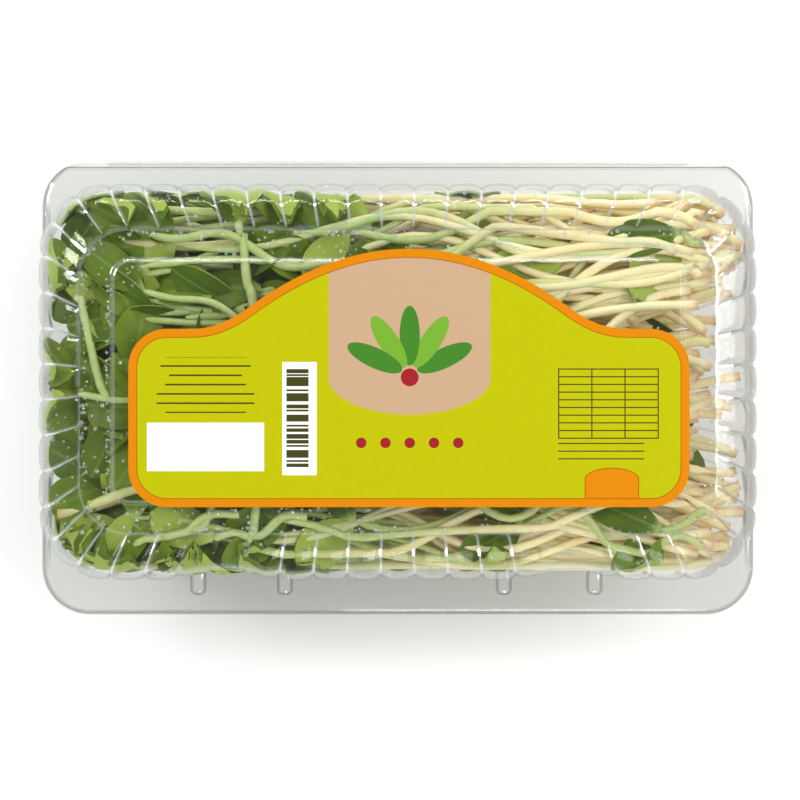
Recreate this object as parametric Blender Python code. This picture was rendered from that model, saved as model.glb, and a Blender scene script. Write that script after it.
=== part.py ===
"""A hinged clear tray of cut sunflower sprouts, closed, with a blank sticker on its lid.

Metres, +Z up. The tray stands on z = 0 with its long side along X and its hinge along the back
edge, at +Y. The sprouts lie along X, with their leaves at the -X end and their cut ends at +X.
"""

import math
import random
from collections import namedtuple

import bmesh
import bpy
from mathutils import Vector

MM = 0.001

# Formed sheet, shared by the tray and the lid
SHEET = 0.5 * MM
CLEARANCE = 0.3 * MM
RIM_HALF_X, RIM_HALF_Y, RIM_RADIUS = 93.0 * MM, 59.3 * MM, 12.0 * MM
RIM_SLOPE = 1.1 * MM
RIM_DROP = 0.9 * MM
TRAY_RIM_Z = 38.0 * MM
LID_RIM_Z = TRAY_RIM_Z + CLEARANCE
WALL_HALF_X, WALL_HALF_Y, WALL_RADIUS = 91.4 * MM, 50.6 * MM, 18.0 * MM
BODY_Y = 1.2 * MM

# Flutes in the walls, and the two finger scoops in the front
LONG_FLUTES, SHORT_FLUTES, CORNER_FLUTES = 17, 7, 3
FLUTE_POINTS = 3
FLUTE_DEPTH = 1.2 * MM
SCOOP_X = 43.5 * MM
SCOOP_HALF = 17.0 * MM
SCOOP_DEPTH = 4.8 * MM

# Hinge: a rolled bead on the tray's back edge, on the lid's axis
BEAD_RADIUS = 0.7 * MM
BEAD_HALF = 76.0 * MM
HINGE_Y = 58.8 * MM
HINGE_Z = TRAY_RIM_Z + CLEARANCE / 2
LID_BACK_Y = HINGE_Y - BEAD_RADIUS - CLEARANCE

# Snap buttons on the front of the lid's rim, one on each side of each scoop
BUTTON_X = (-52.3 * MM, -29.6 * MM, 27.8 * MM, 51.6 * MM)
BUTTON_Y = -50.6 * MM
BUTTON_SIZE = (4.2 * MM, 8.0 * MM, 2.2 * MM)

# Sticker on the raised panel of the lid
LABEL_THICKNESS = 0.3 * MM
LABEL_X = 2.8 * MM
LABEL_HALF = 69.4 * MM
LABEL_BOTTOM, LABEL_SHOULDER, LABEL_TOP = -29.9 * MM, 14.2 * MM, 34.0 * MM
LABEL_RADIUS = 9.5 * MM
HUMP_HALF = 46.3 * MM
HUMP_FILLET = 40.0 * MM

# Sprouts, laid in wavy layers that never cross
LAYERS, SPROUTS_PER_LAYER = 7, 6
FLOOR_Z, CEILING_Z = 2.8 * MM, 64.4 * MM
FLOOR_WAVE, CEILING_WAVE = 1.6 * MM, 3.2 * MM
STEM_LEVEL, LEAF_LEVEL = 0.23, 0.66
STEM_SIDES, STEM_RINGS = 5, 8
LEAF_THICKNESS = 0.7 * MM
LEAF_ARCH = 1.9 * MM
WALL_MARGIN = 1.2 * MM
TURNED_ROUND = 0.06
LEAST_PIECE = 5 * MM**3
SEED = 41

Level = namedtuple("Level", "half_x half_y radius z scoop")

TRAY_WALL = (
    Level(79.0 * MM, 39.5 * MM, 13.0 * MM, SHEET, 1.5 * MM),
    Level(WALL_HALF_X, WALL_HALF_Y, WALL_RADIUS, TRAY_RIM_Z, SCOOP_DEPTH),
)
TRAY_STEP = Level(68.0 * MM, 30.0 * MM, 9.0 * MM, SHEET, 0)
TRAY_PANEL = Level(66.0 * MM, 28.0 * MM, 8.0 * MM, 2.0 * MM, 0)
LID_WALL = (
    Level(WALL_HALF_X, WALL_HALF_Y, WALL_RADIUS, LID_RIM_Z, SCOOP_DEPTH),
    Level(90.6 * MM, 49.8 * MM, 17.6 * MM, LID_RIM_Z + 19 * MM, 0.45 * SCOOP_DEPTH),
    Level(86.4 * MM, 46.0 * MM, 16.0 * MM, LID_RIM_Z + 24.5 * MM, 0.15 * SCOOP_DEPTH),
    Level(79.4 * MM, 38.1 * MM, 12.4 * MM, LID_RIM_Z + 27 * MM, 0),
)
LID_STEP = Level(70.8 * MM, 30.2 * MM, 4.5 * MM, LID_RIM_Z + 27 * MM, 0)
LID_PANEL = Level(70.2 * MM, 29.6 * MM, 4.0 * MM, LID_RIM_Z + 28.2 * MM, 0)

COLOURS = {
    "clear": ((0.88, 0.93, 0.92, 1.0), 0.08),
    "sticker": ((0.56, 0.60, 0.02, 1.0), 0.45),
    "stem": ((0.80, 0.74, 0.48, 1.0), 0.40),
    "leaf": ((0.15, 0.30, 0.03, 1.0), 0.42),
}


def clear_scene():
    for item in list(bpy.data.objects):
        bpy.data.objects.remove(item)


def material(name):
    """The Principled material of that name, made once."""
    found = bpy.data.materials.get(name)
    if found:
        return found
    colour, roughness = COLOURS[name]
    made = bpy.data.materials.new(name)
    made.use_nodes = True
    shader = made.node_tree.nodes["Principled BSDF"]
    shader.inputs["Base Color"].default_value = colour
    shader.inputs["Roughness"].default_value = roughness
    shader.inputs["Metallic"].default_value = 0.0
    return made


def new_object(name, mesh, finish):
    made = bpy.data.objects.new(name, mesh)
    mesh.materials.append(material(finish))
    bpy.context.scene.collection.objects.link(made)
    return made


def mesh_from(name, vertices, faces):
    mesh = bpy.data.meshes.new(name)
    mesh.from_pydata(vertices, [], faces)
    mesh.update()
    return mesh


def rounded_runs(level):
    """The four sides and corners of a rounded rectangle, anticlockwise from the front.

    Each is (flutes, place), where place(t) gives the point and the outward normal at share t.
    """
    x, y, r = level.half_x, level.half_y, level.radius
    sides = (
        (LONG_FLUTES, Vector((-(x - r), -y)), Vector((x - r, -y)), -90),
        (SHORT_FLUTES, Vector((x, -(y - r))), Vector((x, y - r)), 0),
        (LONG_FLUTES, Vector((x - r, y)), Vector((-(x - r), y)), 90),
        (SHORT_FLUTES, Vector((-x, y - r)), Vector((-x, -(y - r))), 180),
    )
    for flutes, start, end, facing in sides:
        angle = math.radians(facing)
        out = Vector((math.cos(angle), math.sin(angle)))

        def along(t, start=start, end=end, out=out):
            return start.lerp(end, t), out

        def around(t, end=end, out=out, angle=angle):
            turned = angle + t * math.pi / 2
            normal = Vector((math.cos(turned), math.sin(turned)))
            return end - out * r + normal * r, normal

        yield flutes, along
        yield CORNER_FLUTES, around


def scoop_share(x):
    """How far into a finger scoop x is: 1 at its middle and 0 outside it."""
    reach = min(1.0, abs(abs(x) - SCOOP_X) / SCOOP_HALF)
    return math.cos(reach * math.pi / 2) ** 2


def fluted_outline(level):
    """Points of a fluted wall at one height: two on each flute's crest and one in its groove."""
    points = []
    for run, (flutes, place) in enumerate(rounded_runs(level)):
        steps = flutes * FLUTE_POINTS
        for step in range(steps):
            point, normal = place(step / steps)
            share = scoop_share(point.x) if run == 0 else 0.0
            if step % FLUTE_POINTS == 0:
                point = point - normal * FLUTE_DEPTH * (1 - share)
            points.append((point.x, point.y + level.scoop * share + BODY_Y, level.z))
    return points


def plain_outline(level, corner_steps=5, shift_y=0.0, back_y=1.0, drop=0.0):
    """Points of a smooth rounded rectangle. The rim's edge drops everywhere but along the hinge."""
    points = []
    for run, (_, place) in enumerate(rounded_runs(level)):
        if run % 2 == 0:
            continue
        for step in range(corner_steps + 1):
            point, _ = place(step / corner_steps)
            front = min(1.0, (level.half_y - point.y) / level.radius)
            points.append((point.x, min(point.y, back_y) + shift_y, level.z - drop * front))
    return points


def add_loop(bm, points):
    """A closed loop of vertices and edges."""
    verts = [bm.verts.new(point) for point in points]
    for first, second in zip(verts, verts[1:] + verts[:1]):
        bm.edges.new((first, second))
    return verts


def loop_edges(bm, verts):
    return [bm.edges.get(pair) for pair in zip(verts, verts[1:] + verts[:1])]


def formed_sheet(name, loops, inside_up):
    """A thin shell from nested loops: equal neighbours are bridged, unequal flat ones are filled.

    The loops lie on the face that touches the food, and the sheet's thickness goes outwards.
    """
    bm = bmesh.new()
    rows = [add_loop(bm, points) for points in loops]
    for lower, upper in zip(rows, rows[1:]):
        edges = loop_edges(bm, lower) + loop_edges(bm, upper)
        if len(lower) == len(upper):
            bmesh.ops.bridge_loops(bm, edges=edges)
        else:
            bmesh.ops.triangle_fill(bm, edges=edges, use_beauty=True, normal=(0, 0, 1))
    bm.faces.new(rows[-1])
    bmesh.ops.recalc_face_normals(bm, faces=bm.faces)
    bm.faces.ensure_lookup_table()
    middle = min(bm.faces, key=lambda face: face.calc_center_median().xy.length)
    if (middle.normal.z > 0) != inside_up:
        bmesh.ops.reverse_faces(bm, faces=bm.faces)
    mesh = bpy.data.meshes.new(name)
    bm.to_mesh(mesh)
    bm.free()
    return thickened(new_object(name, mesh, "clear"))


def thickened(sheet):
    """Gives a sheet its thickness, and flattens what it stands on."""
    solid = sheet.modifiers.new("sheet", "SOLIDIFY")
    solid.thickness = SHEET
    solid.offset = -1
    solid.use_even_offset = True
    graph = bpy.context.evaluated_depsgraph_get()
    mesh = bpy.data.meshes.new_from_object(sheet.evaluated_get(graph))
    sheet.modifiers.clear()
    for vertex in mesh.vertices:
        if abs(vertex.co.z) < SHEET / 2:
            vertex.co.z = 0.0
    sheet.data = mesh
    return sheet


def rim_loops(z, back_y):
    """The rim's outer edge and the line where its slope starts."""
    edge = Level(RIM_HALF_X, RIM_HALF_Y, RIM_RADIUS, z, 0)
    inner = Level(RIM_HALF_X - RIM_SLOPE, RIM_HALF_Y - RIM_SLOPE, RIM_RADIUS - RIM_SLOPE, z, 0)
    return [plain_outline(edge, back_y=back_y, drop=RIM_DROP),
            plain_outline(inner, back_y=back_y - RIM_SLOPE)]


def join(target, helper, name):
    """Adds a hidden helper to the target by a live Boolean union."""
    helper.hide_render = True
    helper.display_type = "WIRE"
    union = target.modifiers.new(name, "BOOLEAN")
    union.operation = "UNION"
    union.object = helper


def build_tray():
    loops = rim_loops(TRAY_RIM_Z, HINGE_Y)
    loops += [fluted_outline(level) for level in reversed(TRAY_WALL)]
    loops += [plain_outline(level, shift_y=BODY_Y) for level in (TRAY_STEP, TRAY_PANEL)]
    tray = formed_sheet("tray", loops, inside_up=True)
    bpy.ops.mesh.primitive_cylinder_add(
        vertices=10, radius=BEAD_RADIUS, depth=2 * BEAD_HALF,
        location=(0, HINGE_Y, HINGE_Z), rotation=(0, math.pi / 2, 0))
    bead = bpy.context.object
    bead.name = "hinge_bead_shape"
    join(tray, bead, "hinge bead")


def build_lid():
    loops = rim_loops(LID_RIM_Z, LID_BACK_Y)
    loops += [fluted_outline(level) for level in LID_WALL]
    loops += [plain_outline(level, shift_y=BODY_Y) for level in (LID_STEP, LID_PANEL)]
    lid = formed_sheet("lid", loops, inside_up=False)
    width, length, height = BUTTON_SIZE
    for number, x in enumerate(BUTTON_X, start=1):
        centre_z = LID_RIM_Z + SHEET / 2 + height / 2
        bpy.ops.mesh.primitive_cube_add(size=1, location=(x, BUTTON_Y, centre_z))
        button = bpy.context.object
        button.name = f"button_shape_{number}"
        button.scale = (width, length, height)
        bpy.ops.object.transform_apply(location=False, rotation=False, scale=True)
        round_edges(button, width / 3)
        join(lid, button, f"button {number}")


def round_edges(target, radius):
    """Bevels the upright edges of a block once."""
    bm = bmesh.new()
    bm.from_mesh(target.data)
    upright = [e for e in bm.edges if abs(e.verts[0].co.z - e.verts[1].co.z) > radius]
    bmesh.ops.bevel(bm, geom=upright, offset=radius, segments=2, affect="EDGES", profile=0.5)
    bm.to_mesh(target.data)
    bm.free()


def hump(x):
    """Height share of the sticker's raised middle: a wide arch with a soft foot on each side."""
    reach = abs(x)
    if reach < HUMP_FILLET:
        return 1 - (reach / HUMP_HALF) ** 2
    foot_height = 1 - (HUMP_FILLET / HUMP_HALF) ** 2
    foot_slope = 2 * HUMP_FILLET / HUMP_HALF**2
    foot_length = 2 * foot_height / foot_slope
    left = max(0.0, 1 - (reach - HUMP_FILLET) / foot_length)
    return foot_height * left**2


def corner_points(centre_x, centre_y, start_degrees, steps=5):
    for step in range(steps + 1):
        angle = math.radians(start_degrees + 90 * step / steps)
        yield (centre_x + LABEL_RADIUS * math.cos(angle), centre_y + LABEL_RADIUS * math.sin(angle))


def label_outline(hump_steps=18):
    """The sticker's edge, anticlockwise from its lower left corner, about its own middle."""
    side = LABEL_HALF - LABEL_RADIUS
    low, high = LABEL_BOTTOM + LABEL_RADIUS, LABEL_SHOULDER - LABEL_RADIUS
    points = list(corner_points(-side, low, 180))
    points += corner_points(side, low, 270)
    points += corner_points(side, high, 0)
    for step in range(1, hump_steps):
        x = side * (1 - 2 * step / hump_steps)
        points.append((x, LABEL_SHOULDER + (LABEL_TOP - LABEL_SHOULDER) * hump(x)))
    points += corner_points(-side, high, 90)
    return points


def build_label():
    bottom = LID_PANEL.z + SHEET + CLEARANCE
    outline = [(LABEL_X + x, y, bottom) for x, y in label_outline()]
    bm = bmesh.new()
    face = bm.faces.new([bm.verts.new(point) for point in outline])
    grown = bmesh.ops.extrude_face_region(bm, geom=[face])
    lifted = [item for item in grown["geom"] if isinstance(item, bmesh.types.BMVert)]
    bmesh.ops.translate(bm, verts=lifted, vec=(0, 0, LABEL_THICKNESS))
    bmesh.ops.recalc_face_normals(bm, faces=bm.faces)
    mesh = bpy.data.meshes.new("label")
    bm.to_mesh(mesh)
    bm.free()
    new_object("label", mesh, "sticker")


def inner_half(z):
    """Half the room inside the walls at height z, as (x, y), clear of the flutes."""
    levels = TRAY_WALL + LID_WALL[1:]
    for lower, upper in zip(levels, levels[1:]):
        if z <= upper.z:
            break
    share = min(1.0, max(0.0, (z - lower.z) / (upper.z - lower.z)))
    x = lower.half_x + (upper.half_x - lower.half_x) * share
    y = lower.half_y + (upper.half_y - lower.half_y) * share
    return x - FLUTE_DEPTH - WALL_MARGIN, y - FLUTE_DEPTH - WALL_MARGIN


def keep_inside(x, y, half_x, half_y, radius=15 * MM):
    """The nearest point of a rounded rectangle to (x, y), or the point itself if it is inside."""
    x, y = max(-half_x, min(half_x, x)), max(-half_y, min(half_y, y))
    over_x, over_y = abs(x) - (half_x - radius), abs(y) - (half_y - radius)
    reach = math.hypot(over_x, over_y)
    if over_x <= 0 or over_y <= 0 or reach <= radius:
        return x, y
    return (math.copysign(half_x - radius + over_x * radius / reach, x),
            math.copysign(half_y - radius + over_y * radius / reach, y))


Sprout = namedtuple("Sprout", "layer root head sway turns phase radius facing spreads lengths widths")


def sprout_plan():
    """Where every sprout lies, layer by layer, from one seeded run of draws."""
    draw = random.Random(SEED)
    plan = []
    pitch = (CEILING_Z - FLOOR_Z) / LAYERS
    for layer in range(LAYERS):
        top = FLOOR_Z + pitch * (layer + 1)
        bottom = FLOOR_Z + pitch * layer
        half_x, half_y = map(min, zip(inner_half(bottom), inner_half(top)))
        lanes = [0.96 * half_y * (2 * i / (SPROUTS_PER_LAYER - 1) - 1) for i in range(SPROUTS_PER_LAYER)]
        heads = lanes[:]
        draw.shuffle(heads)
        for lane, head_lane in zip(lanes, heads):
            way = -1 if draw.random() < TURNED_ROUND else 1
            head_y = 0.62 * lane + 0.34 * head_lane
            root = (way * (half_x - draw.uniform(1, 20) * MM), lane + draw.uniform(-2, 2) * MM)
            reach = draw.random() ** 1.25
            head = (way * (-half_x + (14 + 66 * reach) * MM), head_y)
            facing = math.pi + 0.5 * head_y / half_y + draw.uniform(-0.6, 0.6)
            facing = facing if way > 0 else math.pi - facing
            plan.append(Sprout(
                layer, root, head, draw.uniform(2, 7) * MM, draw.uniform(0.6, 1.4),
                draw.uniform(0, 2 * math.pi), draw.uniform(1.05, 1.3) * MM, facing,
                (draw.uniform(0.25, 0.75), draw.uniform(0.25, 0.75)),
                (draw.uniform(16, 20) * MM, draw.uniform(16, 20) * MM),
                (draw.uniform(9.5, 12.5) * MM, draw.uniform(9.5, 12.5) * MM)))
    return plan


def layer_room(layer):
    """(flat height of the layer's bottom, its pitch, half its length, half its width)."""
    pitch = (CEILING_Z - FLOOR_Z) / LAYERS
    bottom = FLOOR_Z + pitch * layer
    half_x, half_y = map(min, zip(inner_half(bottom), inner_half(bottom + pitch)))
    return bottom, pitch, half_x, half_y


def waved(x, y, z):
    """Shears a flat layer's point into the heap's wavy layers, which keeps layers from crossing."""
    share = (z - FLOOR_Z) / (CEILING_Z - FLOOR_Z)
    swell = 0.5 + 0.5 * math.sin(x / (19 * MM) + 0.8) * math.cos(y / (14 * MM) - 0.4)
    low = FLOOR_Z + FLOOR_WAVE * swell
    high = CEILING_Z - CEILING_WAVE * (1 - swell)
    return x, y + BODY_Y, low + share * (high - low)


def stem_point(sprout, u):
    """The stem's centre line on its flat layer, from its cut end at u = 0 to its head at 1."""
    bottom, pitch, half_x, half_y = layer_room(sprout.layer)
    smooth = u * u * (3 - 2 * u)
    x = sprout.root[0] + (sprout.head[0] - sprout.root[0]) * u
    y = sprout.root[1] + (sprout.head[1] - sprout.root[1]) * smooth
    y += sprout.sway * math.sin(2 * math.pi * sprout.turns * u + sprout.phase) * math.sin(math.pi * u)
    x, y = keep_inside(x, y, half_x - sprout.radius, half_y - sprout.radius)
    return Vector((x, y, bottom + STEM_LEVEL * pitch))


def stem_mesh(sprout):
    """One stem: rings along its centre line, joined into a closed tube."""
    vertices, faces = [], []
    for ring in range(STEM_RINGS):
        u = ring / (STEM_RINGS - 1)
        centre = stem_point(sprout, u)
        ahead = stem_point(sprout, min(1.0, u + 0.01)) - stem_point(sprout, max(0.0, u - 0.01))
        side = ahead.normalized().cross(Vector((0, 0, 1)))
        radius = sprout.radius * (1.0 - 0.2 * u)
        for corner in range(STEM_SIDES):
            angle = 2 * math.pi * (corner + 0.25) / STEM_SIDES
            point = centre + radius * (side * math.cos(angle) + Vector((0, 0, math.sin(angle))))
            vertices.append(waved(*point))
    for ring in range(STEM_RINGS - 1):
        for corner in range(STEM_SIDES):
            here, there = ring * STEM_SIDES + corner, ring * STEM_SIDES + (corner + 1) % STEM_SIDES
            faces.append((here, there, there + STEM_SIDES, here + STEM_SIDES))
    faces.append(tuple(range(STEM_SIDES))[::-1])
    faces.append(tuple(range((STEM_RINGS - 1) * STEM_SIDES, STEM_RINGS * STEM_SIDES)))
    return vertices, faces


# Share of the leaf's length, and its half width there as a share of the widest
LEAF_STATIONS = ((0.0, 0.2), (0.3, 0.9), (0.72, 1.0), (1.0, 0.45))


def leaf_mesh(sprout, number):
    """One seed leaf: a blade arched along its length, closed with its own thickness."""
    bottom, pitch, half_x, half_y = layer_room(sprout.layer)
    level = bottom + LEAF_LEVEL * pitch
    angle = sprout.facing + (1, -1)[number] * sprout.spreads[number]
    ahead = Vector((math.cos(angle), math.sin(angle), 0))
    side = Vector((-ahead.y, ahead.x, 0))
    length, half_width = sprout.lengths[number], sprout.widths[number] / 2
    head = stem_point(sprout, 1.0)
    vertices, faces = [], []
    for face in (1, -1):
        for along, wide in LEAF_STATIONS:
            for across in (-1, 1):
                point = head + ahead * length * along + side * half_width * wide * across
                x, y = keep_inside(point.x, point.y, half_x, half_y)
                arch = LEAF_ARCH * (1 - (2 * along - 1) ** 2)
                vertices.append(waved(x, y, level + arch + face * LEAF_THICKNESS / 2))
    per_face = 2 * len(LEAF_STATIONS)
    for here in range(0, per_face - 2, 2):
        low = here + per_face
        faces += [(here, here + 1, here + 3, here + 2), (low + 1, low, low + 2, low + 3)]
    edge = list(range(0, per_face, 2)) + list(range(per_face - 1, 0, -2))
    for first, second in zip(edge, edge[1:] + edge[:1]):
        faces.append((first, second, second + per_face, first + per_face))
    return vertices, faces


def knot_mesh(sprout):
    """The growing point that joins the two seed leaves, just above the stem's end."""
    bottom, pitch, _, _ = layer_room(sprout.layer)
    head = stem_point(sprout, 1.0)
    low = bottom + STEM_LEVEL * pitch + sprout.radius + 0.25 * MM
    high = bottom + LEAF_LEVEL * pitch + LEAF_THICKNESS
    vertices = []
    for z in (low, high):
        for corner in range(STEM_SIDES):
            angle = 2 * math.pi * corner / STEM_SIDES + sprout.facing
            x = head.x + 1.3 * MM * math.cos(angle)
            vertices.append(waved(x, head.y + 1.3 * MM * math.sin(angle), z))
    faces = [tuple(range(STEM_SIDES))[::-1], tuple(range(STEM_SIDES, 2 * STEM_SIDES))]
    for corner in range(STEM_SIDES):
        other = (corner + 1) % STEM_SIDES
        faces.append((corner, other, other + STEM_SIDES, corner + STEM_SIDES))
    return vertices, faces


def outward(mesh):
    """Turns every face of a closed mesh outwards."""
    bm = bmesh.new()
    bm.from_mesh(mesh)
    bmesh.ops.recalc_face_normals(bm, faces=bm.faces)
    bm.to_mesh(mesh)
    bm.free()
    return mesh


def fused(shapes):
    """One mesh from many crossing solids, by a single Boolean union on a collection."""
    group = bpy.data.collections.new("repeats")
    bpy.context.scene.collection.children.link(group)
    made = []
    for number, (vertices, faces) in enumerate(shapes):
        item = bpy.data.objects.new(f"repeat_{number}", outward(mesh_from("repeat", vertices, faces)))
        made.append(item)
        if number == 0:
            bpy.context.scene.collection.objects.link(item)
        else:
            group.objects.link(item)
    union = made[0].modifiers.new("union", "BOOLEAN")
    union.operation = "UNION"
    union.operand_type = "COLLECTION"
    union.collection = group
    union.use_self = False
    graph = bpy.context.evaluated_depsgraph_get()
    mesh = bpy.data.meshes.new_from_object(made[0].evaluated_get(graph))
    for item in made:
        bpy.data.objects.remove(item)
    bpy.data.collections.remove(group)
    return mesh


def islands(mesh):
    """The mesh cut into its closed bodies, largest first, without pockets or crumbs."""
    bm = bmesh.new()
    bm.from_mesh(mesh)
    unseen = set(bm.faces)
    parts = []
    while unseen:
        stack, found = [unseen.pop()], []
        while stack:
            face = stack.pop()
            found.append(face)
            for edge in face.edges:
                for other in edge.link_faces:
                    if len(edge.link_faces) == 2 and other in unseen:
                        unseen.remove(other)
                        stack.append(other)
        found.sort(key=lambda face: face.index)
        corners = sorted({vertex.index for face in found for vertex in face.verts})
        number = {index: place for place, index in enumerate(corners)}
        points = [mesh.vertices[index].co.copy() for index in corners]
        faces = [tuple(number[vertex.index] for vertex in face.verts) for face in found]
        if signed_volume(points, faces) > LEAST_PIECE:
            parts.append((points, faces))
    bm.free()
    return sorted(parts, key=lambda part: (-len(part[0]), tuple(part[0][0])))


def signed_volume(points, faces):
    """Volume inside a closed body, below zero for the wall of a pocket that faces inwards."""
    total = 0.0
    for face in faces:
        first = points[face[0]]
        for second, third in zip(face[1:], face[2:]):
            total += first.dot(points[second].cross(points[third])) / 6
    return total


def build_sprouts():
    """Every layer's stems and leaves, fused where they cross, each body that results its own node."""
    plan = sprout_plan()
    for layer in range(LAYERS):
        sprouts = [sprout for sprout in plan if sprout.layer == layer]
        stems = [stem_mesh(sprout) for sprout in sprouts]
        heads = [shape for sprout in sprouts
                 for shape in (knot_mesh(sprout), leaf_mesh(sprout, 0), leaf_mesh(sprout, 1))]
        for word, finish, shapes in (("stems", "stem", stems), ("leaves", "leaf", heads)):
            for number, (vertices, faces) in enumerate(islands(fused(shapes)), start=1):
                name = f"{word}_{layer + 1}_{number}"
                new_object(name, mesh_from(name, vertices, faces), finish)


def main():
    clear_scene()
    build_tray()
    build_lid()
    build_label()
    build_sprouts()


main()
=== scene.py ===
# %% [markdown]
# # A clear hinged tray of cut sunflower sprouts
# The object is a thin, clear, formed pack: a fluted tray and a domed lid that share one living
# hinge, filled with cut sprouts and closed with a printed sticker. This lesson builds each piece
# round the packed CAD model, in metres, with +X to the cut ends and +Y to the hinge.

# %% Load the frame
import math
import random
from collections import namedtuple

import bmesh
import bpy
import numpy as np
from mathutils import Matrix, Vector, kdtree


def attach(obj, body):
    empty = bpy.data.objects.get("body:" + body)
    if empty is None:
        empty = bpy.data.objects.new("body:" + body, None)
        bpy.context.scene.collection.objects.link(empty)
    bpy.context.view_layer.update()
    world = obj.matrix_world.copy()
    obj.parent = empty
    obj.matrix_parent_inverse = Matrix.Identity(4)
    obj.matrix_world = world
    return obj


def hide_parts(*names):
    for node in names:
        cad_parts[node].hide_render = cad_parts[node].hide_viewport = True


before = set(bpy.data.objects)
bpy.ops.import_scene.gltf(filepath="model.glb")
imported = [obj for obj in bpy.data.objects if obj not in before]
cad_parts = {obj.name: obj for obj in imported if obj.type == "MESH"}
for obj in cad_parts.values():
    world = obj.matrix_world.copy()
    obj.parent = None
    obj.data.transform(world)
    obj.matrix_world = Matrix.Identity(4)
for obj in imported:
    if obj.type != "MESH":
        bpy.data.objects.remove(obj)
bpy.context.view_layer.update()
MM = 0.001

# %% [markdown]
# ## The camera and the light
# The pack lies on white and is seen from half a metre over its rim. A pale world stands in for a
# light tent. Clear plastic shows only what it reflects, so a long narrow strip behind the pack
# draws thin glints on its flutes, and three soft lamps stand off to the other sides.

# %% Camera and lamps
SENSOR, LENS = 36.0, 85.6
RIM_HEIGHT, CAMERA_RISE = 38.0 * MM, 500 * MM
AIM_X, AIM_Y = 0.6 * MM, -3.4 * MM
HORIZON, OVERHEAD = 0.65, 0.67
FILM_SIDES = 32  # that one ray may cross
LAMPS = (  # name, place, aim, length and width in metres, power in watts
    ("back_strip", (0, 1.0, 0.48), (0, 0, 0.04), 1.3, 0.045, 5.0),
    ("left_lamp", (-0.75, 0.3, 0.85), (0, 0, 0.03), 0.24, 0.24, 4.4),
    ("right_lamp", (0.55, 0.1, 0.6), (0.03, 0, 0.03), 0.4, 0.4, 2.4),
    ("front_lamp", (0.1, -0.9, 0.7), (0, 0, 0.03), 0.3, 0.3, 2.0))


def deselect():
    """Leaves edit mode and clears the selection."""
    if bpy.context.object and bpy.context.object.mode != "OBJECT":
        bpy.ops.object.mode_set(mode="OBJECT")
    bpy.ops.object.select_all(action="DESELECT")


def select(*pieces):
    """Selects only these pieces, the last of them active."""
    deselect()
    for piece in pieces:
        piece.select_set(True)
    bpy.context.view_layer.objects.active = pieces[-1]


def edit(piece):
    """Opens a piece in edit mode with all of it selected."""
    select(piece)
    bpy.ops.object.mode_set(mode="EDIT")
    bpy.ops.mesh.select_all(action="SELECT")


deselect()
bpy.ops.object.camera_add(location=(AIM_X, AIM_Y, RIM_HEIGHT + CAMERA_RISE), rotation=(0, 0, 0))
camera = bpy.context.object
camera.data.sensor_width, camera.data.lens, camera.data.clip_start = SENSOR, LENS, 0.01
bpy.context.scene.camera = camera

for name, place, aim, length, width, power in LAMPS:
    deselect()
    turn = (Vector(aim) - Vector(place)).to_track_quat("-Z", "Y").to_euler()
    bpy.ops.object.light_add(type="AREA", location=place, rotation=turn)
    lamp = bpy.context.object
    lamp.name, lamp.data.shape, lamp.data.energy = name, "RECTANGLE", power
    lamp.data.size, lamp.data.size_y = length, width

world = bpy.data.worlds.new("light_tent")
world.use_nodes = True
nodes, links = world.node_tree.nodes, world.node_tree.links
sky = nodes["Background"]
direction, height, fade = (
    nodes.new("ShaderNode" + kind) for kind in ("TexCoord", "SeparateXYZ", "MapRange"))
fade.inputs["To Min"].default_value, fade.inputs["To Max"].default_value = HORIZON, OVERHEAD
links.new(direction.outputs["Generated"], height.inputs[0])
links.new(height.outputs["Z"], fade.inputs["Value"])
links.new(fade.outputs["Result"], sky.inputs["Strength"])
sky.inputs["Color"].default_value = (1, 1, 1, 1)
bpy.context.scene.world = world
bpy.context.scene.view_settings.view_transform = "Standard"
bpy.context.scene.cycles.transparent_max_bounces = FILM_SIDES
print("lens", LENS, "mm,", len(bpy.data.lights), "lamps")

# %% [markdown]
# ## Shader maths as Python
# A finish is a small tree of nodes. A Value wraps a socket, and its operators add Math nodes, so
# that 1 - mask or a * b needs no wiring. One method of Finish makes every other kind of node.

# %% The Value and Finish classes
class Value:
    """A node's output for use in sums, each of which adds a Math node."""

    def __init__(self, finish, socket):
        self.finish = finish
        self.socket = socket

    def math(self, operation, *others):
        made = self.finish.node("Math", {"operation": operation}, [self, *others])
        return Value(self.finish, made.outputs[0])

    def __add__(self, other):
        return self.math("ADD", other)

    def __mul__(self, other):
        return self.math("MULTIPLY", other)

    def __sub__(self, other):
        return self.math("SUBTRACT", other)

    def __rsub__(self, other):
        return self.math("MULTIPLY", -1).math("ADD", other)

    def __pow__(self, other):
        return self.math("POWER", other)

    def __abs__(self):
        return self.math("ABSOLUTE")

    __radd__ = __add__
    __rmul__ = __mul__

    def at_least(self, other):
        return self.math("MAXIMUM", other)

    def below(self, limit):
        return self.math("LESS_THAN", limit)

    def above(self, limit):
        return self.math("GREATER_THAN", limit)

    def ramp(self, low, high):
        """0 at low and 1 at high, smooth between them. Low may be the larger."""
        made = self.finish.node(
            "MapRange", {"interpolation_type": "SMOOTHSTEP", "clamp": True},
            {"Value": self, "From Min": low, "From Max": high})
        return Value(self.finish, made.outputs["Result"])


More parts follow.
